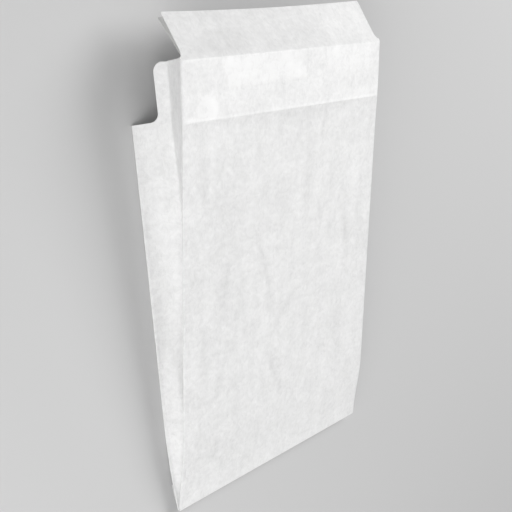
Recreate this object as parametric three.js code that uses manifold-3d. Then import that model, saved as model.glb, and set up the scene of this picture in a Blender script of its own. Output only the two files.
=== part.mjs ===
// Gusseted envelope with a flat bottom seam, side gussets, throat tabs, a closure flap,
// a self-seal adhesive strip and its release liner. It lies on its back panel, front panel up.
// Frame while building: +X across the width, +Y from the bottom seam to the flap, +Z up.
// Millimetres. The finished group is centred in X and Y, with the resting plane at Z = 0.
import * as THREE from 'three';
import { mergeVertices } from 'three/addons/utils/BufferGeometryUtils.js';
import Module from 'manifold-3d';

const wasm = await Module();
wasm.setup();

// Sheet and folds
const sheet = 0.4;
const foldInside = 0.1;

// Panels, measured along the sheet
const panelWidth = 250;
const pocketLength = 331.5;
const bandLength = 48;
const gussetHalf = 34;
const gussetSpread = 61.1;

// Bottom seam, and the flap that is folded over it and glued to the back
const seamHeight = 7.7;
const seamWidth = 3;
const bellyRise = 5.6;
const bellyLength = 66;
const undersideRun = 80;
const bottomFlapLength = 22.5;
const bottomFlapBond = 6;
const bottomFlapLift = 2.1;
const bottomFlapInset = 0.6;

// Glued lap along the middle of the back panel
const lapWidth = 20;

// Throat cut, which leans towards the mouth as it nears the gusset's crease, and the tabs past it
const throatLean = 2.2;
const tabReach = 11;
const tabCornerRadius = 8;
const tabRootRadius = 7;
const tabEdgeTilt = 2;

// Band and closure flap
const bandTilt = 1.65;
const flapLength = 42.6;
const flapInset = 3;
const flapTaper = 1;
const flapFootRadius = 3.5;
const flapCornerRadius = 1.5;
const flapLeftTilt = 31.5;
const flapRightTilt = 27;
const flapBow = 4;

// Self-seal strip and its liner on the inner side of the flap
const clearance = 0.25;
const adhesiveStart = 4;
const adhesiveWidth = 16;
const adhesiveEndMargin = 6;
const adhesiveThickness = 0.25;
const linerStart = 2.2;
const linerEndGap = 1;
const linerSideInset = 0.4;
const linerThickness = 0.25;
const linerCurl = 5;
const linerCurlPower = 1.4;

// How finely curves are stepped
const foldSteps = 3;
const bendSteps = 8;
const cornerSteps = 8;
const flapColumns = 20;

const radians = THREE.MathUtils.degToRad;
const halfSheet = sheet / 2;
const foldRadius = foldInside + halfSheet;
const flatStack = 3 * foldRadius;
const mouthDepth = 2 * gussetHalf * Math.sin(radians(gussetSpread));

const ease = (value) => THREE.MathUtils.smoothstep(value, 0, 1);
const frontAtSeam = seamHeight + flatStack + bellyRise;
const frontSlope = (halfSheet + mouthDepth - frontAtSeam) / pocketLength;
const bandAngle = Math.atan(frontSlope) - radians(bandTilt);
const bandEnd = pocketLength + bandLength * Math.cos(bandAngle);

// Height of the middle of the front sheet at a station along the envelope
function frontHeight(y) {
  if (y > pocketLength) {
    return halfSheet + mouthDepth + (y - pocketLength) * Math.tan(bandAngle);
  }
  return frontAtSeam + frontSlope * y - bellyRise * (1 - ease(y / bellyLength));
}

// Height of the middle of the back sheet: flat on the ground, and curving up to the seam.
// Past the mouth it only guides the gusset tabs, which open half as fast as the band rises
function backHeight(y) {
  if (y > pocketLength) {
    return halfSheet + (frontHeight(y) - frontHeight(pocketLength)) / 2;
  }
  const rise = Math.max(0, 1 - y / undersideRun) ** 2;
  return halfSheet + (seamHeight - flatStack - halfSheet) * rise;
}

// Points of a fold's arc, from one angle to the other, with the radius of that side of the sheet
function arcPoints(centreX, centreZ, radius, from, to) {
  const points = [];
  for (let step = 0; step <= foldSteps; step += 1) {
    const angle = from + (to - from) * step / foldSteps;
    points.push([centreX + radius * Math.cos(angle), centreZ + radius * Math.sin(angle)]);
  }
  return points;
}

// One side of the sheet all round a section: front panel, gusset, back panel, gusset.
// Each gusset half is the line tangent to the fold at the panel and to the centre crease
function sectionRing(y, side) {
  const front = frontHeight(y);
  const back = backHeight(y);
  const middle = (front + back) / 2;
  const inward = Math.sqrt(gussetHalf ** 2 - ((front - back) / 2) ** 2);
  const edgeX = -panelWidth / 2 + foldRadius;
  const creaseX = -panelWidth / 2 + inward - foldRadius;
  const run = creaseX - edgeX;
  const drop = middle - (front - foldRadius);
  const turn = Math.atan2(drop, run) + Math.asin(2 * foldRadius / Math.hypot(run, drop));
  const convex = foldRadius + side * halfSheet;
  const concave = foldRadius - side * halfSheet;
  const quarter = Math.PI / 2;
  const left = [
    ...arcPoints(edgeX, front - foldRadius, convex, quarter, 3 * quarter + turn),
    ...arcPoints(creaseX, middle, concave, quarter + turn, -quarter - turn),
    ...arcPoints(edgeX, back + foldRadius, convex, quarter - turn, 3 * quarter),
  ];
  const right = left.map(([x, z]) => [-x, z]).reverse();
  return [...left, ...right].map(([x, z]) => new THREE.Vector3(x, y, z));
}

// Closed solid between two grids of points with the same rows and columns.
// A looped grid closes on itself, an open one gets its two long edges
function solidBetween(upper, lower, looped) {
  const rows = upper.length;
  const columns = upper[0].length;
  const vertices = [...upper.flat(), ...lower.flat()];
  const below = rows * columns;
  const triangles = [];
  const quad = (a, b, c, d) => triangles.push(a, b, c, a, c, d);
  const spans = looped ? columns : columns - 1;
  const at = (row, column) => row * columns + column % columns;
  for (let row = 0; row < rows - 1; row += 1) {
    for (let column = 0; column < spans; column += 1) {
      const a = at(row, column);
      const b = at(row + 1, column);
      const c = at(row + 1, column + 1);
      const d = at(row, column + 1);
      quad(a, b, c, d);
      quad(below + a, below + d, below + c, below + b);
    }
  }
  for (let column = 0; column < spans; column += 1) {
    const first = at(0, column);
    const next = at(0, column + 1);
    const last = at(rows - 1, column);
    const after = at(rows - 1, column + 1);
    quad(first, next, below + next, below + first);
    quad(after, last, below + last, below + after);
  }
  if (!looped) {
    for (let row = 0; row < rows - 1; row += 1) {
      const start = at(row, 0);
      const startNext = at(row + 1, 0);
      const end = at(row, columns - 1);
      const endNext = at(row + 1, columns - 1);
      quad(startNext, start, below + start, below + startNext);
      quad(end, endNext, below + endNext, below + end);
    }
  }
  const mesh = new wasm.Mesh({
    numProp: 3,
    vertProperties: new Float32Array(vertices.flatMap((point) => point.toArray())),
    triVerts: new Uint32Array(triangles),
  });
  return new wasm.Manifold(mesh);
}

// Solid of a side profile, drawn in Y and Z, that runs across the envelope
function acrossWidth(shape, width) {
  const geometry = new THREE.ExtrudeGeometry(shape, {
    depth: width,
    bevelEnabled: false,
    curveSegments: cornerSteps,
  });
  geometry.deleteAttribute('normal');
  geometry.deleteAttribute('uv');
  geometry.translate(0, 0, -width / 2);
  const yzToWorld = new THREE.Matrix4().makeBasis(
    new THREE.Vector3(0, 1, 0),
    new THREE.Vector3(0, 0, 1),
    new THREE.Vector3(1, 0, 0),
  );
  geometry.applyMatrix4(yzToWorld);
  const merged = mergeVertices(geometry);
  return new wasm.Manifold(new wasm.Mesh({
    numProp: 3,
    vertProperties: new Float32Array(merged.attributes.position.array),
    triVerts: new Uint32Array(merged.index.array),
  }));
}

// Evenly spaced stations from one place to another
function stations(from, to, count) {
  return Array.from({ length: count + 1 }, (_, index) => from + (to - from) * index / count);
}

// The folded tube: front panel, gussets and back panel as one wall
function foldedTube() {
  const places = new Set([
    ...stations(0, undersideRun, 2 * bendSteps),
    ...stations(0, bellyLength, bendSteps),
    ...stations(undersideRun, pocketLength, bendSteps),
    ...stations(pocketLength, bandEnd + mouthDepth, bendSteps),
  ]);
  const rows = [...places].sort((a, b) => a - b);
  const outer = rows.map((y) => sectionRing(y, 1));
  const inner = rows.map((y) => sectionRing(y, -1));
  return solidBetween(outer, inner, true);
}

// Side outline of what the cutting die leaves: a throat that frees the back panel,
// and a tab on each gusset with a rounded root and a rounded outer corner
function dieOutline() {
  const below = -mouthDepth;
  const above = 2 * mouthDepth;
  const crease = (y) => (frontHeight(y) + backHeight(y)) / 2;
  const reachDown = tabReach * Math.sin(radians(gussetSpread));
  const tabSlope = Math.tan(radians(tabEdgeTilt));
  const tabEdge = (y) => crease(pocketLength) - reachDown + tabSlope * (y - pocketLength);
  const throat = (z) => pocketLength + throatLean * z / crease(pocketLength);
  const rootHeight = tabEdge(pocketLength) - tabRootRadius;
  const rootCorner = throat(tabEdge(pocketLength));
  const rootEnd = rootCorner + tabRootRadius;
  const shape = new THREE.Shape();
  shape.moveTo(-pocketLength, below);
  shape.lineTo(throat(0), below);
  shape.lineTo(throat(0), 0);
  shape.lineTo(throat(rootHeight), rootHeight);
  shape.quadraticCurveTo(rootCorner, tabEdge(rootCorner), rootEnd, tabEdge(rootEnd));
  shape.lineTo(bandEnd - tabCornerRadius, tabEdge(bandEnd - tabCornerRadius));
  shape.quadraticCurveTo(bandEnd, tabEdge(bandEnd), bandEnd, tabEdge(bandEnd) + tabCornerRadius);
  shape.lineTo(bandEnd, above);
  shape.lineTo(-pocketLength, above);
  shape.closePath();
  return shape;
}

// Side profile between a lower and an upper line, each a list of [y, z] from the seam onwards
function profileBetween(under, over) {
  const shape = new THREE.Shape();
  shape.moveTo(...under[0]);
  [...under.slice(1), ...over.toReversed()].forEach(([y, z]) => shape.lineTo(y, z));
  shape.closePath();
  return shape;
}

// The bottom flap: bonded to the back panel along its root, and springing away towards its edge
function bottomFlap() {
  const face = (y) => backHeight(y) - halfSheet - bottomFlapLift * y / bottomFlapLength;
  const bonded = stations(0, bottomFlapBond, bendSteps);
  const free = stations(bottomFlapBond, bottomFlapLength, bendSteps);
  const under = [...bonded, ...free.slice(1)].map((y) => [y, face(y) - sheet]);
  const over = [...bonded.map((y) => [y, backHeight(y)]), ...free.map((y) => [y, face(y)])];
  return acrossWidth(profileBetween(under, over), panelWidth - 2 * bottomFlapInset);
}

// The crimped and glued stack of sheets at the very bottom
function gluedSeam() {
  const ends = [0, seamWidth];
  const under = ends.map((y) => [y, backHeight(y)]);
  const over = ends.map((y) => [y, frontHeight(y)]);
  return acrossWidth(profileBetween(under, over), panelWidth - 2 * foldRadius);
}

// The overlap of the back panel's two edges, inside along the middle
function backLap() {
  const places = [...stations(seamWidth, undersideRun, 2 * bendSteps), pocketLength];
  const under = places.map((y) => [y, backHeight(y)]);
  const over = places.map((y) => [y, backHeight(y) + halfSheet + sheet]);
  return acrossWidth(profileBetween(under, over), lapWidth);
}

// Half width of the closure flap at a distance from its crease
function flapHalfWidth(distance) {
  const foot = Math.min(1, Math.max(0, distance / flapFootRadius));
  const sweep = Math.sqrt(1 - (1 - foot) ** 2);
  const toTip = Math.min(flapCornerRadius, Math.max(0, flapLength - distance));
  const corner = flapCornerRadius - Math.sqrt(toTip * (2 * flapCornerRadius - toTip));
  return panelWidth / 2 - flapInset * sweep - flapTaper * distance / flapLength - corner;
}

// Place on the closure flap: across the width, away from the crease,
// and below the middle of the flap's sheet
function flapPoint(x, distance, depth) {
  const share = 2 * x / panelWidth;
  const tilt = THREE.MathUtils.lerp(flapLeftTilt, flapRightTilt, (share + 1) / 2);
  const angle = radians(tilt + flapBow * (1 - share ** 2));
  return new THREE.Vector3(
    x,
    bandEnd + distance * Math.cos(angle) - depth * Math.sin(angle),
    frontHeight(bandEnd) - distance * Math.sin(angle) - depth * Math.cos(angle),
  );
}

// A strip that lies along the flap, between two depths that may change with the distance
function flapStrip(distances, halfWidth, upperDepth, lowerDepth) {
  const shares = stations(-1, 1, flapColumns).reverse();
  const grid = (depth) => distances.map((distance) => (
    shares.map((share) => flapPoint(share * halfWidth(distance), distance, depth(distance)))
  ));
  return solidBetween(grid(upperDepth), grid(lowerDepth), false);
}

function closureFlap() {
  const distances = [
    -halfSheet,
    ...stations(0, flapFootRadius, cornerSteps),
    ...stations(flapFootRadius, flapLength - flapCornerRadius, bendSteps).slice(1, -1),
    ...stations(flapLength - flapCornerRadius, flapLength, cornerSteps / 2),
  ];
  return flapStrip(distances, flapHalfWidth, () => -halfSheet, () => halfSheet);
}

const adhesiveTop = halfSheet + clearance;
const adhesiveEnd = adhesiveStart + adhesiveWidth;
const linerTop = adhesiveTop + adhesiveThickness + clearance;

function adhesiveStrip() {
  const halfWidth = () => flapHalfWidth(adhesiveEnd) - adhesiveEndMargin;
  const bottom = adhesiveTop + adhesiveThickness;
  const distances = stations(adhesiveStart, adhesiveEnd, bendSteps / 2);
  return flapStrip(distances, halfWidth, () => adhesiveTop, () => bottom);
}

// The liner lies on the adhesive and curls away from the flap past it
function releaseLiner() {
  const tip = flapLength - linerEndGap;
  const pastAdhesive = (distance) => Math.max(0, (distance - adhesiveEnd) / (tip - adhesiveEnd));
  const curl = (distance) => linerCurl * pastAdhesive(distance) ** linerCurlPower;
  const halfWidth = (distance) => flapHalfWidth(Math.max(distance, flapFootRadius)) - linerSideInset;
  const distances = [
    ...stations(linerStart, adhesiveEnd, bendSteps / 2),
    ...stations(adhesiveEnd, tip, bendSteps).slice(1),
  ];
  return flapStrip(
    distances,
    halfWidth,
    (distance) => linerTop + curl(distance),
    (distance) => linerTop + linerThickness + curl(distance),
  );
}

// Three.js mesh of a solid
function meshOf(name, solid, material) {
  const { vertProperties, triVerts } = solid.getMesh();
  const indexed = new THREE.BufferGeometry();
  indexed.setAttribute('position', new THREE.BufferAttribute(new Float32Array(vertProperties), 3));
  indexed.setIndex(new THREE.BufferAttribute(new Uint32Array(triVerts), 1));
  const geometry = indexed.toNonIndexed();
  geometry.computeVertexNormals();
  const mesh = new THREE.Mesh(geometry, material);
  mesh.name = name;
  return mesh;
}

const nonwoven = new THREE.MeshStandardMaterial({ color: 0xe9e9e8, roughness: 0.62, metalness: 0 });
const tackyFilm = new THREE.MeshStandardMaterial({ color: 0xdcdcd2, roughness: 0.25, metalness: 0 });
const coatedPaper = new THREE.MeshStandardMaterial({ color: 0xececec, roughness: 0.4, metalness: 0 });

const dieCut = acrossWidth(dieOutline(), 2 * panelWidth);
const body = foldedTube()
  .add(backLap())
  .intersect(dieCut)
  .add(gluedSeam())
  .add(bottomFlap())
  .add(closureFlap());

const envelope = new THREE.Group();
envelope.name = 'gusseted_envelope';
envelope.add(meshOf('envelope_body', body, nonwoven));
envelope.add(meshOf('adhesive_strip', adhesiveStrip(), tackyFilm));
envelope.add(meshOf('release_liner', releaseLiner(), coatedPaper));

const bounds = new THREE.Box3().setFromObject(envelope);
envelope.position.set(
  -(bounds.min.x + bounds.max.x) / 2,
  -(bounds.min.y + bounds.max.y) / 2,
  -bounds.min.z,
);

export default envelope;
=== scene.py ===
# Opened gusset envelope of fibrous nonwoven sheet, lying on its back panel
import math
import bpy
from mathutils import Matrix, Vector


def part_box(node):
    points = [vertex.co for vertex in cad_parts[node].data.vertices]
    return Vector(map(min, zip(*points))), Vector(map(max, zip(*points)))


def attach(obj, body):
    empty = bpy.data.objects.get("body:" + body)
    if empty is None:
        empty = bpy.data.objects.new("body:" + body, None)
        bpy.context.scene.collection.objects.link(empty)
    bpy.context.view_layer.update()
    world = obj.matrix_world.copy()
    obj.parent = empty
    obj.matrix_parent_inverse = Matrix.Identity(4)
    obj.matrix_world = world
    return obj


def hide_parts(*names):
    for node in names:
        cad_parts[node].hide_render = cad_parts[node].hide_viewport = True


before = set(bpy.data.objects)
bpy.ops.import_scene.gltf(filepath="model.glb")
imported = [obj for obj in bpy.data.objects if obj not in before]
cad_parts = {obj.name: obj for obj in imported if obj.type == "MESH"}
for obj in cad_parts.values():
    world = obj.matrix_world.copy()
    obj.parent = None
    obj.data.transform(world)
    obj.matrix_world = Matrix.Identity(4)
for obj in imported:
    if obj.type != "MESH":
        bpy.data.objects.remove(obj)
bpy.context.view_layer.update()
mm = 0.001
scene = bpy.context.scene
scene.view_settings.view_transform = "Standard"
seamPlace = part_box("envelope_body")[0][1] / mm  # where the bottom seam lies along Y, in millimetres


# Camera, above and to the left of the envelope
cameraSetup = {
    "place": (-604.8, 181.6, 574.6),  # millimetres
    "heading": -107.60,  # degrees
    "elevation": 41.89,
    "roll": 97.29,
    "lens": 65.79,
}


def makeCamera(setup):
    data = bpy.data.cameras.new("deskCamera")
    data.lens = setup["lens"]
    data.sensor_width = 36
    data.clip_start = 0.01
    data.clip_end = 30
    camera = bpy.data.objects.new("deskCamera", data)
    scene.collection.objects.link(camera)
    turn = Matrix.Rotation(math.radians(setup["heading"]), 4, "Z")
    turn = turn @ Matrix.Rotation(math.radians(90 - setup["elevation"]), 4, "X")
    turn = turn @ Matrix.Rotation(math.radians(setup["roll"]), 4, "Z")
    camera.matrix_world = Matrix.Translation(Vector(setup["place"]) * mm) @ turn
    scene.camera = camera


makeCamera(cameraSetup)
print("camera placed")


# The folded sheet. Millimetres and degrees, with Y counted from the bottom seam
sheetSetup = {
    "width": 250.0,
    "pocketLength": 331.5,
    "bandLength": 48.0,
    "bandTilt": 1.65,  # how much flatter the band lies than the front panel
    "gussetHalf": 34.0,  # from a gusset's crease to the fold at either panel
    "gussetSpread": 61.1,  # how steep each half stands at the open end
    "seamHeight": 7.7,  # how far the glued seam lifts off the ground
    "seamStack": 0.9,  # half of the layers pressed together there
    "bellyRise": 5.6,  # how far the front panel rises above the seam, over the belly's length
    "bellyLength": 66.0,
    "undersideRun": 80.0,  # how far the back panel takes to come down from the seam
    "gauge": 0.3,  # thickness of the sheet
    "backLevel": 0.2,  # middle of the sheet above the ground
    "seamFold": 0.26,  # fold radius at the flattened bottom
    "mouthFold": 0.8,  # fold radius at the open end
    "mouthFoldRun": 220.0,  # over how long a stretch from the seam the folds soften
    "pleatFold": 4.2,  # softer crease inside the gusset at the open end
    "pleatFoldRun": 300.0,
    "pleatSag": 3.0,  # how far each half of a gusset hangs towards its own panel
    "pleatSway": 0.4,  # slight S on top of it, left by the flat folds
    "sagGap": 30.0,  # how far apart the panels are where the halves sag fully
    "sagTakes": 2.5,  # how much the sag shortens a half's straight line
    "sagLoss": 0.75,  # share of the sag that the stiff mouth takes away
    "stiffBefore": 30.0,  # how far before the mouth that begins, and over how long a stretch
    "stiffFade": 40.0,
    "pressedUntil": 60.0,  # near the seam the pleat stays pressed up under the front panel
    "pressedFade": 110.0,
    "pressedShare": 0.25,  # how far its crease hangs below that panel, of the height there
    "wallShare": 0.50,  # how far its back half bulges up as a wall beside its fold, of the height there
    "wallPlace": 0.38,  # where the wall is highest, as a share of the way from its fold to the crease
    "wallFade": 0.3,
    "wallTakes": 0.2,  # how much less deep the pleat gets for it, of the height there
    "throatLean": 3.0,  # how far the throat cut leans towards the mouth at the gusset's crease
    "throatLeanWidth": 14.0,
    "leftFlare": 0.4,  # how much wider the band stands at its two edges
    "rightFlare": 1.3,
    "flareBefore": 20.0,
    "flareRun": 50.0,
    "tabReach": 11.0,
    "tabFlare": 1.6,
    "tabCorner": 8.0,
    "tabRoot": 7.0,
    "tabLean": 2.4,
    "tabLeanRun": 24.0,
    "lapHalf": 10.0,  # glued overlap along the middle of the back
    "bottomFlap": 22.5,
    "bottomFlapLift": 2.1,
    "seamWrap": 1.1,  # radius of the fold round the glued seam
    "creaseSkew": 1.2,  # how far the crease runs askew, towards the seam on the right
    "creaseSkewWidth": 22.0,
    "creaseRidge": 0.45,
    "ridgeWidth": 1.1,
    "creaseValley": 0.55,
    "valleyPlace": 6.5,  # before the crease
    "valleyWidth": 4.2,
    "creaseShade": 1.7,  # painted shade: how much darker a soft crease is painted for each millimetre of depth
    "scoreDepth": 0.10,  # faint line along the middle of the band
    "scorePlace": 22.0,
    "scoreWidth": 0.9,
    "reliefMargin": 4.0,  # the relief ends this far from the panel's edges
    "spacing": 2.7,  # mesh spacing on the panels
}
flapSetup = {
    "length": 42.6,
    "inset": 3.0,
    "taper": 1.0,
    "shoulder": 3.0,  # full width next to the crease
    "footRadius": 8.0,
    "cornerRadius": 1.5,
    "leftTilt": 31.5,
    "rightTilt": 27.0,
    "bow": 4.0,
    "foldRadius": 1.0,
}
# Soft dents in the front panel and the band: start, end, half width and height, in millimetres
softCreases = [
    ((-78, 328), (-62, 305), 2.4, -0.36),
    ((10, 310), (19, 294), 3.0, -0.34),
    ((50, 331), (43, 298), 2.0, -0.44),
    ((81, 227), (94, 182), 3.2, -0.36),
    ((-74, 257), (-63, 217), 2.8, -0.44),
    ((-39, 235), (-30, 203), 2.8, -0.40),
    ((-112, 290), (-99, 269), 2.8, -0.32),
    ((-71, 226), (-81, 170), 3.2, -0.48),
    ((-32, 216), (-14, 150), 3.4, -0.50),
    ((-4, 150), (18, 171), 3.0, -0.36),
    ((114, 171), (122, 137), 2.6, -0.30),
    ((-23, 121), (4, 62), 3.4, -0.54),
    ((-80, 124), (-86, 93), 2.8, -0.34),
    ((-118, 60), (-120, 28), 2.6, -0.36),
    ((-85, 59), (-88, 31), 2.6, -0.36),
    ((38, 76), (31, 56), 2.6, -0.30),
    ((73, 115), (84, 87), 3.0, -0.32),
    ((-112, 75), (-74, 98), 2.2, 0.26),
    ((-86, 150), (-60, 128), 3.0, -0.26),
    ((40, 250), (52, 214), 3.4, -0.30),
    ((104, 262), (112, 230), 3.0, -0.26),
    ((-93, 377), (-72, 346), 2.8, 0.24),
    ((-100, 352), (-82, 331), 2.8, 0.26),
    ((13, 376), (26, 353), 2.8, -0.28),
    ((43, 353), (51, 332), 2.8, -0.28),
]
# Patches painted lighter or darker: corners on the sheet in millimetres, strength, and how softly they end
tonePatches = [
    ([(-120, 333), (-86, 332), (-90, 349), (-101, 351), (-111, 343)], 0.75, 3),
    ([(-75, 355), (21, 355.5), (20, 378), (-84, 378)], 0.75, 3),
    ([(48, 352), (116, 352), (115, 378), (47, 378)], 0.50, 4),
    ([(53, 333), (124, 332), (124, 341), (53, 341)], 0.35, 5),
    ([(-123, 356), (-76, 354), (-85, 377), (-123, 377)], -0.20, 4),
    ([(8, 316), (43, 319), (49, 329), (0, 329)], -0.40, 7),
    ([(-97, 291), (-74, 288), (-74, 315), (-97, 318)], 0.20, 10),
    ([(53, 243), (108, 233), (107, 291), (46, 299)], 0.25, 14),
    ([(-32, 230), (0, 223), (-2, 273), (-33, 278)], -0.30, 14),
    ([(-114, 383), (-45, 383), (-47, 402), (-78, 407)], -0.45, 9),
    ([(-34, 382), (28, 384), (48, 399), (12, 400)], -0.35, 9),
    ([(55, 384), (117, 395), (111, 418), (63, 418)], 0.35, 14),
    ([(-150, 30), (-50, 30), (-60, 300), (-150, 300)], -0.35, 60),
    ([(-20, -30), (150, -30), (150, 70), (0, 50)], 0.30, 50),
]


# How much lighter the whole band is painted, the painted highlight along its crease and the painted shadow
# just below it, and how freely each zone of the sheet lies
bandToneAndCreaseLight = {"band": 0.5, "creaseHighlight": 0.5, "creaseShadow": 0.3}
looseSetup = {
    "tabs": 0.04,
    "gussets": 1.5,
    "flap": 0.16,
    "panelMargin": 16.0,  # millimetres over which a panel comes free from its edges
    "seamStart": 5.0,
    "seamFade": 22.0,
    "gussetStart": 12.0,
    "gussetFade": 60.0,
    "creaseHold": 0.8,  # how much the crease and the throat hold the sheet still
    "creaseHoldWidth": 7.0,
    "throatHold": 0.6,
    "endFade": 12.0,
}


def ease(value):
    value = min(1.0, max(0.0, value))
    return value * value * (3 - 2 * value)


def blend(low, high, share):
    return low + (high - low) * share


def bell(value, width):
    return math.exp(-(value / width) ** 2)


sheet = dict(sheetSetup)
sheet["mouthDepth"] = 2 * sheet["gussetHalf"] * math.sin(math.radians(sheet["gussetSpread"]))
sheet["frontAtSeam"] = sheet["seamHeight"] + sheet["seamStack"] + sheet["bellyRise"]
sheet["mouthHeight"] = sheet["backLevel"] + sheet["mouthDepth"]
sheet["slope"] = (sheet["mouthHeight"] - sheet["frontAtSeam"]) / sheet["pocketLength"]
bandAngle = math.atan(sheet["slope"]) - math.radians(sheet["bandTilt"])
bandEnd = sheet["pocketLength"] + sheet["bandLength"] * math.cos(bandAngle)
halfPanel = sheet["width"] / 2


def frontHeight(y):
    if y > sheet["pocketLength"]:
        return sheet["mouthHeight"] + (y - sheet["pocketLength"]) * math.tan(bandAngle)
    belly = sheet["bellyRise"] * (1 - ease(y / sheet["bellyLength"]))
    return sheet["frontAtSeam"] + sheet["slope"] * y - belly


def backHeight(y):
    if y > sheet["pocketLength"]:
        return sheet["backLevel"] + (frontHeight(y) - sheet["mouthHeight"]) / 2
    rise = max(0.0, 1 - y / sheet["undersideRun"]) ** 2
    return sheet["backLevel"] + (sheet["seamHeight"] - sheet["seamStack"] - sheet["backLevel"]) * rise


def foldRadius(y):
    return blend(sheet["seamFold"], sheet["mouthFold"], ease(y / sheet["mouthFoldRun"]))


def pleatRadius(y):
    return blend(sheet["seamFold"], sheet["pleatFold"], ease(y / sheet["pleatFoldRun"]))


# How far a throat tab reaches from the gusset's crease, with its rounded root and corner
def tabReachAt(y):
    past = y - sheet["pocketLength"]
    root = sheet["tabRoot"]
    corner = sheet["tabCorner"]
    reach = sheet["tabReach"] + sheet["tabFlare"] * past / sheet["bandLength"]
    if past < root:
        return reach + root - math.sqrt(root ** 2 - (root - past) ** 2)
    toEnd = max(0.0, bandEnd - y)
    if toEnd < corner:
        return reach - corner + math.sqrt(corner ** 2 - (corner - toEnd) ** 2)
    return reach


# How many mesh spans each stretch of the section gets
spans = {
    "front": 92,
    "fold": 4,
    "gussetFront": 12,
    "pleat": 6,
    "tab": 8,
    "gussetBack": 10,
    "back": 24,
    "lap": 5,
}


def arcPoints(centre, radius, start, stop, count):
    angles = [math.radians(blend(start, stop, step / count)) for step in range(count + 1)]
    return [(centre[0] + radius * math.cos(angle), centre[1] + radius * math.sin(angle)) for angle in angles]


# One half of a gusset at the given shares of the way from its crease to the fold at its panel. It sags by
# the given amount, and by that fold it can stand up as a wall
def gussetHalf(crease, fold, shares, side, amount, wall):
    length = math.dist(crease, fold)
    outward = (side * (fold[1] - crease[1]) / length, side * (crease[0] - fold[0]) / length)
    points = []
    for share in shares:
        sag = sheet["pleatSag"] * math.sin(math.pi * share)
        sway = sheet["pleatSway"] * math.sin(2 * math.pi * share)
        past = (1 - share) / sheet["wallPlace"]
        rise = wall * past ** 3 * math.exp(3 - 3 * past) * ease(share / sheet["wallFade"])
        points.append((
            blend(crease[0], fold[0], share) + outward[0] * amount * (sway - sag),
            blend(crease[1], fold[1], share) + outward[1] * amount * (sway - sag) + rise,
        ))
    return points


# Left gusset from the front panel's edge to the back panel's edge, each point as (x, z)
def gussetSection(y, reach):
    front = frontHeight(y)
    back = backHeight(y)
    fold = foldRadius(y)
    pleat = pleatRadius(y)
    nearSeam = 1 - ease((y - sheet["pressedUntil"]) / sheet["pressedFade"])
    middle = blend((front + back) / 2, front - sheet["pressedShare"] * (front - back), nearSeam)
    amount = min(1, (front - back) / sheet["sagGap"])
    pastStiff = y - sheet["pocketLength"] + sheet["stiffBefore"]
    amount *= 1 - sheet["sagLoss"] * ease(pastStiff / sheet["stiffFade"])
    wall = sheet["wallShare"] * (front - back) * nearSeam
    straight = sheet["gussetHalf"]
    straight -= sheet["sagTakes"] * (amount * sheet["pleatSag"]) ** 2 / sheet["gussetHalf"]
    straight -= sheet["wallTakes"] * (front - back) * nearSeam
    inward = math.sqrt(straight ** 2 - ((front - back) / 2) ** 2)
    foldX = fold - halfPanel
    pleatX = inward - pleat - halfPanel
    run = pleatX - foldX
    turns = []
    for drop in (middle - front + fold, back + fold - middle):
        turn = math.atan2(drop, run) + math.asin((fold + pleat) / math.hypot(run, drop))
        turns.append(math.degrees(turn))
    frontFold = arcPoints((foldX, front - fold), fold, 90, 270 + turns[0], spans["fold"])
    crease = arcPoints((pleatX, middle), pleat, 90 + turns[0], -90 - turns[1], spans["pleat"])
    backFold = arcPoints((foldX, back + fold), fold, 90 - turns[1], 270, spans["fold"])
    held = (reach - pleat * math.radians(90 + turns[1])) / math.dist(crease[-1], backFold[0])
    frontShares = [1 - step / spans["gussetFront"] for step in range(1, spans["gussetFront"])]
    backShares = [held * step / spans["tab"] for step in range(1, spans["tab"] + 1)]
    backShares += [blend(held, 1, step / spans["gussetBack"]) for step in range(1, spans["gussetBack"])]
    upper = gussetHalf(crease[0], frontFold[-1], frontShares, -1, amount, 0)
    lower = gussetHalf(crease[-1], backFold[0], backShares, 1, amount, wall)
    return frontFold + upper + crease + lower + backFold


def softCreasesAt(x, y):
    height = 0.0
    for (startX, startY), (endX, endY), width, lift in softCreases:
        alongX = endX - startX
        alongY = endY - startY
        share = ((x - startX) * alongX + (y - startY) * alongY) / (alongX ** 2 + alongY ** 2)
        if 0 < share < 1:
            away = math.hypot(x - startX - share * alongX, y - startY - share * alongY)
            height += lift * bell(away, width) * math.sin(math.pi * share) ** 0.7
    return height


# Soft dents, the pressed crease and the faint score line, as height above the smooth panel
def reliefAt(x, y):
    fromCrease = y - sheet["pocketLength"]
    height = softCreasesAt(x, y)
    height += sheet["creaseRidge"] * bell(fromCrease, sheet["ridgeWidth"])
    height -= sheet["creaseValley"] * bell(fromCrease + sheet["valleyPlace"], sheet["valleyWidth"])
    height -= sheet["scoreDepth"] * bell(fromCrease - sheet["scorePlace"], sheet["scoreWidth"])
    return height * ease((halfPanel - abs(x)) / sheet["reliefMargin"])


# How much lighter or darker the sheet is painted at a place on the front panel, the band or the flap, painted
# highlight and shade included
def toneAndPaintedLightAt(x, along):
    fromCrease = along - sheet["pocketLength"]
    # The whole band painted lighter
    strength = bandToneAndCreaseLight["band"] * ease(fromCrease / 2) * ease((bandEnd + 0.6 - along) / 1.2)
    # Painted highlight along the crease
    strength += bandToneAndCreaseLight["creaseHighlight"] * bell(fromCrease - 0.2, 1.0)
    # Painted shadow just below the crease
    strength -= bandToneAndCreaseLight["creaseShadow"] * bell(fromCrease + 6, 5)
    # Painted shade in the soft creases, darker the deeper they are
    strength += sheet["creaseShade"] * softCreasesAt(x, along)
    for corners, amount, softness in tonePatches:
        inside = 1.0
        for (firstX, firstY), (nextX, nextY) in zip(corners, corners[1:] + corners[:1]):
            edge = math.hypot(nextX - firstX, nextY - firstY)
            away = ((nextX - firstX) * (along - firstY) - (nextY - firstY) * (x - firstX)) / edge
            inside *= ease(0.5 + away / softness)
        strength += amount * inside
    return strength


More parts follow.
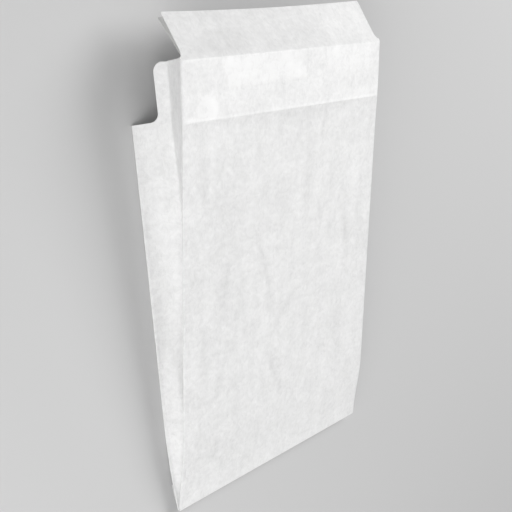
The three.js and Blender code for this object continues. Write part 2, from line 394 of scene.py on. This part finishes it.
# Place on the closure flap: across the width, away from its crease, and below the middle of its sheet
def flapPoint(x, distance, depth=0.0):
    share = x / halfPanel
    tilt = blend(flapSetup["leftTilt"], flapSetup["rightTilt"], (share + 1) / 2)
    angle = math.radians(tilt + flapSetup["bow"] * (1 - share ** 2))
    return (
        x,
        bandEnd + distance * math.cos(angle) - depth * math.sin(angle),
        frontHeight(bandEnd) - distance * math.sin(angle) - depth * math.cos(angle),
    )


# The flap's edge on the left (-1) or right (1) side
def flapEdge(distance, side):
    foot = min(1.0, max(0.0, (distance - flapSetup["shoulder"]) / flapSetup["footRadius"]))
    sweep = math.sqrt(1 - (1 - foot) ** 2)
    flare = sheet["rightFlare"] if side > 0 else sheet["leftFlare"]
    corner = flapSetup["cornerRadius"]
    toTip = min(corner, max(0.0, flapSetup["length"] - distance))
    rounded = corner - math.sqrt(toTip * (2 * corner - toTip))
    taper = flapSetup["taper"] * distance / flapSetup["length"]
    return side * (blend(halfPanel + flare, halfPanel - flapSetup["inset"], sweep) - taper - rounded)


def evenly(first, last, step):
    count = max(1, round((last - first) / step))
    return [blend(first, last, index / count) for index in range(count + 1)]


gussetPoints = 1 + 2 * spans["fold"] + spans["pleat"]
gussetPoints += spans["gussetFront"] + spans["tab"] + spans["gussetBack"]
leftEdge = spans["lap"] + spans["back"] + gussetPoints - 1  # column of the front panel's left edge
rightEdge = leftEdge + spans["front"]
tabSpan = spans["fold"] + spans["gussetFront"] + spans["pleat"] + spans["tab"]
lastColumn = rightEdge + gussetPoints - 1 + spans["back"]
frontColumns = range(leftEdge, rightEdge + 1)
tabColumns = range(leftEdge - tabSpan, rightEdge + tabSpan + 1)
allColumns = range(0, lastColumn + 1)


# A row of the tube as {column: (x, y, z, across, along, loose, toneAndPaintedLight)}
def tubeRow(y):
    past = y > sheet["pocketLength"]
    reach = tabReachAt(y) if past else sheet["tabReach"] + sheet["tabRoot"]
    left = gussetSection(y, reach)
    edge = -left[0][0]
    front = frontHeight(y)
    back = backHeight(y)
    middle = (front + back) / 2
    flared = ease((y - sheet["pocketLength"] + sheet["flareBefore"]) / sheet["flareRun"])
    lap = sheet["lapHalf"]
    overlap = sheet["gauge"] + 0.03
    lapXs = [blend(lap, 0.8 - lap, step / (spans["lap"] - 1)) for step in range(spans["lap"])]
    section = [(x, back + overlap) for x in lapXs]
    section += [(blend(-lap - 1.5, -edge, step / spans["back"]), back) for step in range(spans["back"])]
    section += left[::-1]
    section += [(blend(-edge, edge, step / spans["front"]), front) for step in range(1, spans["front"])]
    section += [(-x, z) for x, z in left]
    section += [(blend(edge, -lap, (step + 1) / spans["back"]), back) for step in range(spans["back"])]
    middleColumn = (leftEdge + rightEdge) // 2
    across = [0.0] * len(section)
    for column in range(middleColumn + 1, len(section)):
        across[column] = across[column - 1] + math.dist(section[column], section[column - 1])
    for column in range(middleColumn - 1, -1, -1):
        across[column] = across[column + 1] - math.dist(section[column], section[column + 1])
    creaseHold = looseSetup["creaseHold"] * bell(y - sheet["pocketLength"], looseSetup["creaseHoldWidth"])
    alongEase = ease((y - looseSetup["seamStart"]) / looseSetup["seamFade"]) * (1 - creaseHold)
    alongEase *= ease((bandEnd - y) / looseSetup["endFade"])
    row = {}
    for column in tabColumns if past else allColumns:
        x, z = section[column]
        side = -1 if column < middleColumn else 1
        fromEdge = max(leftEdge - column, column - rightEdge)
        placeY = y
        loose = looseSetup["tabs"]
        toneAndPaintedLight = 0.0
        if fromEdge <= 0:
            z += reliefAt(x, y)
            pull = x / edge
            lean = 0.0
            loose = ease((edge - abs(x)) / looseSetup["panelMargin"]) * alongEase
            toneAndPaintedLight = toneAndPaintedLightAt(x, y)
        elif fromEdge <= tabSpan + spans["gussetBack"] + spans["fold"]:
            upper = fromEdge - spans["fold"]
            towardsCrease = min(1.0, max(0.0, upper / (spans["gussetFront"] + spans["pleat"] / 2)))
            pull = side * (1 - towardsCrease)
            lean = min(1.0, fromEdge / spans["fold"]) * (1 - towardsCrease)
            across01 = fromEdge / (gussetPoints - 1)
            loose = looseSetup["gussets"] * math.sin(2 * math.pi * across01) ** 2
            loose *= ease((y - looseSetup["gussetStart"]) / looseSetup["gussetFade"])
            loose *= 1 - looseSetup["throatHold"] * ease((y - sheet["pocketLength"] + 4) / 10)
            towardsMiddle = max(0.0, 1 - abs(z - middle) / (middle - back))
            nearThroat = bell(y - sheet["pocketLength"], sheet["throatLeanWidth"])
            placeY += sheet["throatLean"] * towardsMiddle * nearThroat
        else:
            pull = 0.0
            lean = 0.0
        x += (sheet["rightFlare"] if side > 0 else sheet["leftFlare"]) * flared * pull
        placeY -= sheet["creaseSkew"] * pull * bell(y - sheet["pocketLength"], sheet["creaseSkewWidth"])
        placeY += sheet["tabLean"] * lean * ease((y - bandEnd + sheet["tabLeanRun"]) / sheet["tabLeanRun"])
        row[column] = (x, placeY, z, across[column], y, loose, toneAndPaintedLight)
    return row


# The front sheet wrapped round the glued seam and up the back as the bottom flap, from its free edge
def bottomRows():
    wrap = sheet["seamWrap"]
    top = frontHeight(wrap)
    hang = sheet["gauge"] + 0.02
    half = halfPanel - 0.6

    def under(y):
        return backHeight(y) - hang - sheet["bottomFlapLift"] * y / sheet["bottomFlap"]

    flat = [(y, under(y)) for y in reversed(evenly(wrap, sheet["bottomFlap"], 1.6))]
    middle = (top + under(wrap)) / 2
    tall = (top - under(wrap)) / 2
    for step in range(1, 8):
        turn = math.pi * step / 8
        flat.append((wrap - wrap * math.sin(turn), middle - tall * math.cos(turn)))
    along = -sum(math.dist(first, second) for first, second in zip(flat, flat[1:]))
    rows = []
    previous = flat[0]
    for place in flat:
        along += math.dist(previous, place)
        previous = place
        row = {}
        for column in frontColumns:
            x = blend(-half, half, (column - leftEdge) / spans["front"])
            row[column] = (x, place[0], place[1], x, along, 0.0, 0.0)
        rows.append(row)
    return rows


def flapRows(lastRow):
    begin = flapSetup["foldRadius"] * 0.36  # where the round of the crease ends
    rows = []
    for step in range(1, 5):
        share = step / 5
        row = {}
        for column in frontColumns:
            x, y, z = lastRow[column][:3]
            left = blend(lastRow[leftEdge][0], flapEdge(begin, -1), share)
            right = blend(lastRow[rightEdge][0], flapEdge(begin, 1), share)
            atX = blend(left, right, (column - leftEdge) / spans["front"])
            crease = (bandEnd, frontHeight(bandEnd))
            after = flapPoint(atX, begin)[1:]
            weights = ((1 - share) ** 2, 2 * share * (1 - share), share ** 2)
            placeY = weights[0] * y + weights[1] * crease[0] + weights[2] * after[0]
            placeZ = weights[0] * z + weights[1] * crease[1] + weights[2] * after[1]
            along = bandEnd + (2 * share - 1) * begin
            row[column] = (atX, placeY, placeZ, atX, along, 0.0, toneAndPaintedLightAt(atX, along))
        rows.append(row)
    tip = flapSetup["length"]
    corner = flapSetup["cornerRadius"]
    shoulder = flapSetup["shoulder"]
    foot = flapSetup["footRadius"]
    distances = [begin, 1.2, 2.1, shoulder]
    distances += [shoulder + foot * (1 - math.cos(math.radians(turn))) for turn in (20, 33, 45, 56, 67, 78)]
    distances += evenly(shoulder + foot, tip - corner, sheet["spacing"])
    distances += [tip - corner + corner * math.sin(math.radians(turn)) for turn in (25, 50, 70, 90)]
    for distance in distances:
        row = {}
        for column in frontColumns:
            x = blend(flapEdge(distance, -1), flapEdge(distance, 1), (column - leftEdge) / spans["front"])
            loose = looseSetup["flap"] * ease(distance / 12)
            along = bandEnd + distance
            row[column] = (*flapPoint(x, distance), x, along, loose, toneAndPaintedLightAt(x, along))
        rows.append(row)
    return rows


def sheetRows():
    mouth = sheet["pocketLength"]
    wrap = sheet["seamWrap"]
    score = mouth + sheet["scorePlace"]
    root = sheet["tabRoot"]
    corner = sheet["tabCorner"]
    places = [wrap, 1.7, 2.4, 3.2, 4.2, 5.6, 7.4, 9.6, 12.0]
    places += evenly(12.0, mouth - 6.5, sheet["spacing"])[1:]
    places += [mouth - 5.0, mouth - 3.7, mouth - 2.6, mouth - 1.7, mouth - 1.0, mouth - 0.45, mouth]
    places += [mouth + root * (1 - math.cos(math.radians(turn))) for turn in (18, 28, 38, 48, 58, 69, 80, 90)]
    places += evenly(mouth + root, score - 1.6, sheet["spacing"])[1:]
    places += [score - 0.8, score, score + 0.8]
    places += evenly(score + 1.6, bandEnd - corner, sheet["spacing"])
    places += [bandEnd - corner + corner * math.sin(math.radians(turn)) for turn in (14, 28, 42, 55, 66, 75)]
    places.append(bandEnd - 0.36 * flapSetup["foldRadius"])
    rows = [tubeRow(y) for y in places]
    return bottomRows() + rows + flapRows(rows[-1])


# Turns rows of points into one mesh, with a map of the flat blank and the two attributes
def meshFromRows(name, rows):
    vertices = []
    details = []
    numbers = []
    for row in rows:
        numbers.append({})
        for column, (x, y, z, across, along, loose, toneAndPaintedLight) in row.items():
            numbers[-1][column] = len(vertices)
            vertices.append((x * mm, (y + seamPlace) * mm, z * mm))
            details.append((across * mm, along * mm, loose, toneAndPaintedLight))
    faces = []
    for first, second in zip(numbers, numbers[1:]):
        for column in first:
            corners = (first[column], first.get(column + 1), second.get(column + 1), second.get(column))
            if None not in corners:
                faces.append(corners)
    mesh = bpy.data.meshes.new(name)
    mesh.from_pydata(vertices, [], faces)
    blank = mesh.uv_layers.new(name="sheetMap")
    for loop in mesh.loops:
        blank.data[loop.index].uv = details[loop.vertex_index][:2]
    for place, attributeName in ((2, "loose"), (3, "toneAndPaintedLight")):
        attribute = mesh.attributes.new(attributeName, "FLOAT", "POINT")
        attribute.data.foreach_set("value", [detail[place] for detail in details])
    mesh.validate()
    piece = bpy.data.objects.new(name, mesh)
    scene.collection.objects.link(piece)
    return piece


# Small helpers for node trees
def put(tree, kind, wires=None, **settings):
    node = tree.nodes.new(kind)
    for name, value in settings.items():
        setattr(node, name, value)
    for socket, value in (wires or {}).items():
        if isinstance(value, bpy.types.NodeSocket):
            tree.links.new(value, node.inputs[socket])
        else:
            node.inputs[socket].default_value = value
    return node


def calc(tree, operation, *values):
    return put(tree, "ShaderNodeMath", dict(enumerate(values)), operation=operation).outputs[0]


# Copies the modifiers' result into a plain mesh
def settle(piece):
    depsgraph = bpy.context.evaluated_depsgraph_get()
    evaluated = piece.evaluated_get(depsgraph)
    plain = bpy.data.meshes.new_from_object(evaluated, preserve_all_data_layers=True, depsgraph=depsgraph)
    piece.modifiers.clear()
    piece.data = plain
    plain.name = piece.name


def thicken(piece, gauge):
    wall = piece.modifiers.new("wall", "SOLIDIFY")
    wall.thickness = gauge * mm
    wall.offset = 0
    settle(piece)
    piece.data.shade_smooth()
    piece.data.set_sharp_from_angle(angle=math.radians(62))


def startMaterial(name):
    material = bpy.data.materials.new(name)
    material.use_nodes = True
    tree = material.node_tree
    tree.nodes.clear()
    shader = put(tree, "ShaderNodeBsdfPrincipled")
    put(tree, "ShaderNodeOutputMaterial", {"Surface": shader.outputs[0]})
    return material, tree, shader


def noiseOn(tree, vector, scale, detail, roughness=0.5):
    wires = {"Vector": vector, "Scale": scale, "Detail": detail, "Roughness": roughness}
    return put(tree, "ShaderNodeTexNoise", wires)


# Adds strength times (value - 0.5)
def addSwing(tree, total, value, strength):
    return calc(tree, "MULTIPLY_ADD", calc(tree, "SUBTRACT", value, 0.5), strength, total)


# Gives the shader a colour times a tone that varies over the surface
def paint(tree, shader, colour, tone):
    toned = put(tree, "ShaderNodeVectorMath", {0: colour, "Scale": tone}, operation="SCALE").outputs[0]
    tree.links.new(toned, shader.inputs["Base Color"])


# Thin lines where a stretched noise crosses its middle: single fibres or bundles of them
def fibreLayer(tree, vector, turn, across, along, sharpness):
    wires = {"Vector": vector, "Rotation": (0, 0, math.radians(turn)), "Scale": (across, along, 1)}
    mapped = put(tree, "ShaderNodeMapping", wires).outputs[0]
    noise = noiseOn(tree, mapped, 1.0, 2.0).outputs[0]
    away = calc(tree, "ABSOLUTE", calc(tree, "SUBTRACT", noise, 0.5))
    line = calc(tree, "MULTIPLY_ADD", away, -sharpness, 1.0)
    return calc(tree, "MAXIMUM", line, 0.0)


nonwovenLook = {
    "grey": (0.88, 0.88, 0.878),
    "cloudSize": 18.0,  # millimetres
    "blotchSize": 4.2,
    "swirlScale": 95.0,  # per metre
    "swirlReach": 9.0,
    "streakScale": (90, 13, 1),  # per metre
    "cloudSwing": 0.18,
    "blotchSwing": 0.32,
    "fibreGain": 0.08,
    "streakSwing": 0.15,
    "toneAndLightGain": 0.096,
    "pressedGloss": 0.12,
    "roughnessSwing": 0.18,
    "roughness": 0.58,
    "reliefMm": 0.10,
    "reliefStrength": 0.55,
    "fibreRelief": 0.35,
    "fibreLayers": [(18, 800, 95, 11), (76, 700, 85, 12), (-41, 850, 110, 12), (128, 620, 75, 12)],
}


def makeNonwoven(look):
    material, tree, shader = startMaterial("fibrous nonwoven")
    blank = put(tree, "ShaderNodeUVMap", uv_map="sheetMap").outputs[0]
    turning = noiseOn(tree, blank, look["swirlScale"], 2.0).outputs[1]
    wires = {0: turning, 1: (0.5, 0.5, 0.5)}
    swirl = put(tree, "ShaderNodeVectorMath", wires, operation="SUBTRACT").outputs[0]
    wires = {0: swirl, "Scale": look["swirlReach"] * mm}
    offset = put(tree, "ShaderNodeVectorMath", wires, operation="SCALE").outputs[0]
    swirled = put(tree, "ShaderNodeVectorMath", {0: blank, 1: offset}, operation="ADD").outputs[0]
    clouds = noiseOn(tree, blank, 1000 / look["cloudSize"], 3.0, 0.55).outputs[0]
    blotches = noiseOn(tree, swirled, 1000 / look["blotchSize"], 4.0, 0.62).outputs[0]
    streakMap = put(tree, "ShaderNodeMapping", {"Vector": swirled, "Scale": look["streakScale"]}).outputs[0]
    streaks = noiseOn(tree, streakMap, 1.0, 3.0).outputs[0]
    fibres = fibreLayer(tree, swirled, *look["fibreLayers"][0])
    for layer in look["fibreLayers"][1:]:
        fibres = calc(tree, "MAXIMUM", fibres, fibreLayer(tree, swirled, *layer))
    toneAndPaintedLight = put(tree, "ShaderNodeAttribute", attribute_name="toneAndPaintedLight").outputs["Fac"]
    tone = addSwing(tree, 1.0, clouds, look["cloudSwing"])
    tone = addSwing(tree, tone, blotches, look["blotchSwing"])
    tone = addSwing(tree, tone, streaks, look["streakSwing"])
    tone = addSwing(tree, tone, fibres, look["fibreGain"])
    # Painted highlight along the crease, painted shade below it and in the soft creases, and lighter and
    # darker patches
    tone = calc(tree, "MULTIPLY_ADD", toneAndPaintedLight, look["toneAndLightGain"], tone)
    paint(tree, shader, look["grey"], tone)
    rough = addSwing(tree, look["roughness"], blotches, look["roughnessSwing"])
    rough = calc(tree, "MULTIPLY_ADD", toneAndPaintedLight, -look["pressedGloss"], rough)
    tree.links.new(rough, shader.inputs["Roughness"])
    height = calc(tree, "MULTIPLY_ADD", fibres, look["fibreRelief"], blotches)
    wires = {"Height": height, "Strength": look["reliefStrength"], "Distance": look["reliefMm"] * mm}
    tree.links.new(put(tree, "ShaderNodeBump", wires).outputs[0], shader.inputs["Normal"])
    return material


adhesiveLook = {
    "colour": (0.74, 0.74, 0.69),
    "roughness": 0.22,
    "swing": 0.10,
    "smearScale": (60, 320, 320),  # per metre
    "bubbleScale": 520.0,
    "reliefMm": 0.08,
}


def makeAdhesive(look):
    material, tree, shader = startMaterial("tacky seal film")
    place = put(tree, "ShaderNodeTexCoord").outputs["Object"]
    drawn = put(tree, "ShaderNodeMapping", {"Vector": place, "Scale": look["smearScale"]}).outputs[0]
    smears = noiseOn(tree, drawn, 1, 3).outputs[0]
    wires = {"Vector": place, "Scale": look["bubbleScale"]}
    bubbles = put(tree, "ShaderNodeTexVoronoi", wires).outputs["Distance"]
    paint(tree, shader, look["colour"], addSwing(tree, 1.0, smears, look["swing"]))
    shader.inputs["Roughness"].default_value = look["roughness"]
    height = calc(tree, "ADD", smears, bubbles)
    bump = put(tree, "ShaderNodeBump", {"Height": height, "Strength": 0.3, "Distance": look["reliefMm"] * mm})
    tree.links.new(bump.outputs[0], shader.inputs["Normal"])
    return material


linerLook = {
    "colour": (0.83, 0.83, 0.82),
    "roughness": 0.36,
    "roughnessSwing": 0.1,
    "fibreSwing": 0.05,
    "cloudSwing": 0.05,
    "fibreScale": 900.0,  # per metre
    "cloudScale": 110.0,
    "reliefMm": 0.04,
}


def makeLinerPaper(look):
    material, tree, shader = startMaterial("coated liner paper")
    place = put(tree, "ShaderNodeTexCoord").outputs["Object"]
    pulp = noiseOn(tree, place, look["fibreScale"], 3.0, 0.6).outputs[0]
    cloud = noiseOn(tree, place, look["cloudScale"], 2.0).outputs[0]
    tone = addSwing(tree, 1.0, pulp, look["fibreSwing"])
    paint(tree, shader, look["colour"], addSwing(tree, tone, cloud, look["cloudSwing"]))
    rough = addSwing(tree, look["roughness"], pulp, look["roughnessSwing"])
    tree.links.new(rough, shader.inputs["Roughness"])
    shader.inputs["Coat Weight"].default_value = 0.15
    shader.inputs["Coat Roughness"].default_value = 0.3
    bump = put(tree, "ShaderNodeBump", {"Height": pulp, "Strength": 0.2, "Distance": look["reliefMm"] * mm})
    tree.links.new(bump.outputs[0], shader.inputs["Normal"])
    return material


nonwoven = makeNonwoven(nonwovenLook)
tackyFilm = makeAdhesive(adhesiveLook)
linerPaper = makeLinerPaper(linerLook)
print("materials ready")


# A Geometry Nodes tree with a mesh in, named numbers in, and a mesh out
def startTree(name, numbers):
    tree = bpy.data.node_groups.new(name, "GeometryNodeTree")
    tree.interface.new_socket("Geometry", in_out="INPUT", socket_type="NodeSocketGeometry")
    sockets = {}
    for label in numbers:
        sockets[label] = tree.interface.new_socket(label, in_out="INPUT", socket_type="NodeSocketFloat")
    tree.interface.new_socket("Geometry", in_out="OUTPUT", socket_type="NodeSocketGeometry")
    return tree, sockets, tree.nodes.new("NodeGroupInput").outputs


def endTree(tree, geometry, material):
    whole = put(tree, "GeometryNodeRealizeInstances", {"Geometry": geometry}).outputs[0]
    finished = put(tree, "GeometryNodeSetMaterial", {"Geometry": whole, "Material": material}).outputs[0]
    tree.links.new(finished, tree.nodes.new("NodeGroupOutput").inputs[0])


def applyTree(piece, tree, sockets, numbers):
    modifier = piece.modifiers.new(tree.name, "NODES")
    modifier.node_group = tree
    for label, value in numbers.items():
        modifier[sockets[label].identifier] = value
    settle(piece)


# How loosely the opened sheet lies: slow swells and small cockles, in metres, with a fixed seed
cockleSetup = {
    "Swell height": 0.0016,
    "Swell size": 0.075,
    "Cockle height": 0.0006,
    "Cockle size": 0.020,
    "Seed": 4.0,
}


def loosenSheet(piece, setup, material):
    tree, sockets, given = startTree("cockled sheet", setup)
    place = tree.nodes.new("GeometryNodeInputPosition").outputs[0]
    normal = tree.nodes.new("GeometryNodeInputNormal").outputs[0]
    loose = put(tree, "GeometryNodeInputNamedAttribute", {"Name": "loose"}, data_type="FLOAT").outputs[0]
    total = 0.0
    for part, detail, shift in (("Swell", 1.0, 0.0), ("Cockle", 2.0, 7.0)):
        scale = calc(tree, "DIVIDE", 1.0, given[part + " size"])
        seed = calc(tree, "ADD", given["Seed"], shift)
        wires = {"Vector": place, "W": seed, "Scale": scale, "Detail": detail}
        noise = put(tree, "ShaderNodeTexNoise", wires, noise_dimensions="4D").outputs[0]
        wave = calc(tree, "SUBTRACT", noise, 0.5)
        total = calc(tree, "MULTIPLY_ADD", wave, calc(tree, "MULTIPLY", given[part + " height"], 2.0), total)
    lift = calc(tree, "MULTIPLY", total, loose)
    offset = put(tree, "ShaderNodeVectorMath", {0: normal, "Scale": lift}, operation="SCALE").outputs[0]
    moved = put(tree, "GeometryNodeSetPosition", {"Geometry": given["Geometry"], "Offset": offset}).outputs[0]
    endTree(tree, moved, material)
    applyTree(piece, tree, sockets, setup)


body = meshFromRows("envelope_sheet", sheetRows())
loosenSheet(body, cockleSetup, nonwoven)
thicken(body, sheet["gauge"])
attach(body, "root")
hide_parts("envelope_body")
print("folded sheet made:", len(body.data.polygons), "faces")


# Strips along the inner side of the flap, in millimetres: what both share, then each one's own values
stripSetup = {
    "adhesiveGauge": 0.22,
    "linerGauge": 0.14,
    "curlPower": 1.4,  # how suddenly the liner curls away past its grip, and at its ends
    "growthPower": 0.75,
    "rippleScale": 0.03,
    "spansAcross": 96,
    "spansDown": 18,
}
adhesiveSetup = {
    "Start": 4.0, "End": 20.0, "Half width": 115.5, "Depth": 0.42, "Grip": 20.0, "Curl": 0.0, "Wave": 0.0,
    "Held width": 110.0, "Edge lift": 0.0,
}
linerSetup = {
    "Start": 2.2, "End": 41.6, "Half width": 121.6, "Depth": 0.78, "Grip": 20.0, "Curl": 2.9, "Wave": 0.5,
    "Held width": 111.0, "Edge lift": 2.5,
}


# One tree lays either strip along the bowed flap: a grid bent to the flap's tilt, curling away past its grip
def makeStrip(name, setup, gauge, material):
    piece = bpy.data.objects.new(name, bpy.data.meshes.new(name))
    scene.collection.objects.link(piece)
    tree, sockets, given = startTree(name + " strip", setup)
    wires = {"Size X": 2.0, "Size Y": 1.0}
    wires["Vertices X"] = stripSetup["spansAcross"] + 1
    wires["Vertices Y"] = stripSetup["spansDown"] + 1
    grid = put(tree, "GeometryNodeMeshGrid", wires)
    place = put(tree, "ShaderNodeSeparateXYZ", {0: tree.nodes.new("GeometryNodeInputPosition").outputs[0]})
    share = place.outputs[0]
    length = calc(tree, "SUBTRACT", given["End"], given["Start"])
    down = calc(tree, "MULTIPLY_ADD", calc(tree, "ADD", place.outputs[1], 0.5), length, given["Start"])
    narrowing = calc(tree, "MULTIPLY", down, -flapSetup["taper"] / flapSetup["length"])
    across = calc(tree, "MULTIPLY", share, calc(tree, "ADD", given["Half width"], narrowing))
    onFlap = calc(tree, "DIVIDE", across, halfPanel)
    middleTilt = (flapSetup["leftTilt"] + flapSetup["rightTilt"]) / 2 + flapSetup["bow"]
    lean = (flapSetup["rightTilt"] - flapSetup["leftTilt"]) / 2
    tilt = calc(tree, "MULTIPLY_ADD", onFlap, lean, middleTilt)
    tilt = calc(tree, "MULTIPLY_ADD", calc(tree, "MULTIPLY", onFlap, onFlap), -flapSetup["bow"], tilt)
    angle = calc(tree, "RADIANS", tilt)
    reach = calc(tree, "SUBTRACT", given["End"], calc(tree, "SUBTRACT", given["Grip"], 0.001))
    pastGrip = calc(tree, "SUBTRACT", down, given["Grip"])
    free = calc(tree, "MAXIMUM", calc(tree, "DIVIDE", pastGrip, reach), 0.0)
    along = put(tree, "ShaderNodeCombineXYZ", {0: across}).outputs[0]
    ripple = noiseOn(tree, along, stripSetup["rippleScale"], 1.0).outputs[0]
    swing = calc(tree, "MULTIPLY", given["Wave"], calc(tree, "SUBTRACT", ripple, 0.5))
    wave = calc(tree, "MULTIPLY", swing, free)
    bend = calc(tree, "POWER", free, stripSetup["curlPower"])
    curled = calc(tree, "MULTIPLY_ADD", bend, given["Curl"], given["Depth"])
    pastHold = calc(tree, "SUBTRACT", calc(tree, "ABSOLUTE", across), given["Held width"])
    looseWidth = calc(tree, "SUBTRACT", given["Half width"], given["Held width"])
    freeEnd = calc(tree, "MAXIMUM", calc(tree, "DIVIDE", pastHold, looseWidth), 0.0)
    looseEnd = calc(tree, "POWER", freeEnd, stripSetup["curlPower"])
    downShare = calc(tree, "MINIMUM", calc(tree, "DIVIDE", down, given["Grip"]), 1.0)
    growth = calc(tree, "POWER", downShare, stripSetup["growthPower"])
    lift = calc(tree, "MULTIPLY", calc(tree, "MULTIPLY", looseEnd, growth), given["Edge lift"])
    depth = calc(tree, "ADD", calc(tree, "ADD", curled, wave), lift)
    cosine = calc(tree, "COSINE", angle)
    sine = calc(tree, "SINE", angle)
    sunk = calc(tree, "MULTIPLY", depth, sine)
    forward = calc(tree, "SUBTRACT", calc(tree, "MULTIPLY", down, cosine), sunk)
    sunk = calc(tree, "MULTIPLY", depth, cosine)
    fall = calc(tree, "ADD", calc(tree, "MULTIPLY", down, sine), sunk)
    placeY = calc(tree, "ADD", forward, bandEnd + seamPlace)
    placeZ = calc(tree, "SUBTRACT", frontHeight(bandEnd), fall)
    spot = put(tree, "ShaderNodeCombineXYZ", {0: across, 1: placeY, 2: placeZ}).outputs[0]
    inMetres = put(tree, "ShaderNodeVectorMath", {0: spot, "Scale": mm}, operation="SCALE").outputs[0]
    wires = {"Geometry": grid.outputs[0], "Position": inMetres}
    laid = put(tree, "GeometryNodeSetPosition", wires).outputs[0]
    endTree(tree, laid, material)
    applyTree(piece, tree, sockets, setup)
    thicken(piece, gauge)
    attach(piece, "root")
    return piece


sealStrip = makeStrip("seal_strip", adhesiveSetup, stripSetup["adhesiveGauge"], tackyFilm)
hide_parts("adhesive_strip")
peelLiner = makeStrip("peel_liner", linerSetup, stripSetup["linerGauge"], linerPaper)
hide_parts("release_liner")
print("seal strip and liner laid under the flap")


# Floor, background and light
studioSetup = {
    "floorGrey": 0.66,
    "floorRoughness": 0.9,
    "floorShine": 0.1,
    "floorHalf": 6.0,  # metres
    "ambient": 0.28,
}
lampSetup = {
    "left softbox": {"size": 1.5, "place": (-1.90, -0.45, 1.05), "power": 15.8},  # metres and watts
    "low left softbox": {"size": 0.8, "place": (-0.85, -0.55, 0.62), "power": 3.5},
    "right softbox": {"size": 1.5, "place": (1.30, 0.90, 1.60), "power": 31.8},
}


def makeFloor(setup):
    half = setup["floorHalf"]
    corners = [(-half, -half, 0), (half, -half, 0), (half, half, 0), (-half, half, 0)]
    mesh = bpy.data.meshes.new("studio_floor")
    mesh.from_pydata(corners, [], [(0, 1, 2, 3)])
    floor = bpy.data.objects.new("studio_floor", mesh)
    scene.collection.objects.link(floor)
    material, tree, shader = startMaterial("matt studio floor")
    grey = setup["floorGrey"]
    shader.inputs["Base Color"].default_value = (grey, grey, grey, 1)
    shader.inputs["Roughness"].default_value = setup["floorRoughness"]
    shader.inputs["Specular IOR Level"].default_value = setup["floorShine"]
    mesh.materials.append(material)


def makeAir(setup):
    world = bpy.data.worlds.new("studio air")
    scene.world = world
    world.use_nodes = True
    tree = world.node_tree
    tree.nodes.clear()
    around = put(tree, "ShaderNodeBackground", {"Color": (1, 1, 1, 1), "Strength": setup["ambient"]})
    backdrop = put(tree, "ShaderNodeBackground", {"Color": (1, 1, 1, 1), "Strength": setup["floorGrey"]})
    path = tree.nodes.new("ShaderNodeLightPath").outputs
    seen = calc(tree, "MAXIMUM", path["Is Camera Ray"], path["Is Glossy Ray"])
    seen = calc(tree, "MAXIMUM", seen, path["Is Transmission Ray"])
    mixed = put(tree, "ShaderNodeMixShader", {0: seen, 1: around.outputs[0], 2: backdrop.outputs[0]})
    put(tree, "ShaderNodeOutputWorld", {"Surface": mixed.outputs[0]})


def makeLamp(name, setup):
    lamp = bpy.data.lights.new(name, "AREA")
    lamp.size = setup["size"]
    lamp.energy = setup["power"]
    softbox = bpy.data.objects.new(name, lamp)
    softbox.location = setup["place"]
    softbox.rotation_euler = (-Vector(setup["place"])).to_track_quat("-Z", "Y").to_euler()
    scene.collection.objects.link(softbox)


makeFloor(studioSetup)
makeAir(studioSetup)
for lampName, lampNumbers in lampSetup.items():
    makeLamp(lampName, lampNumbers)
print("studio lit")
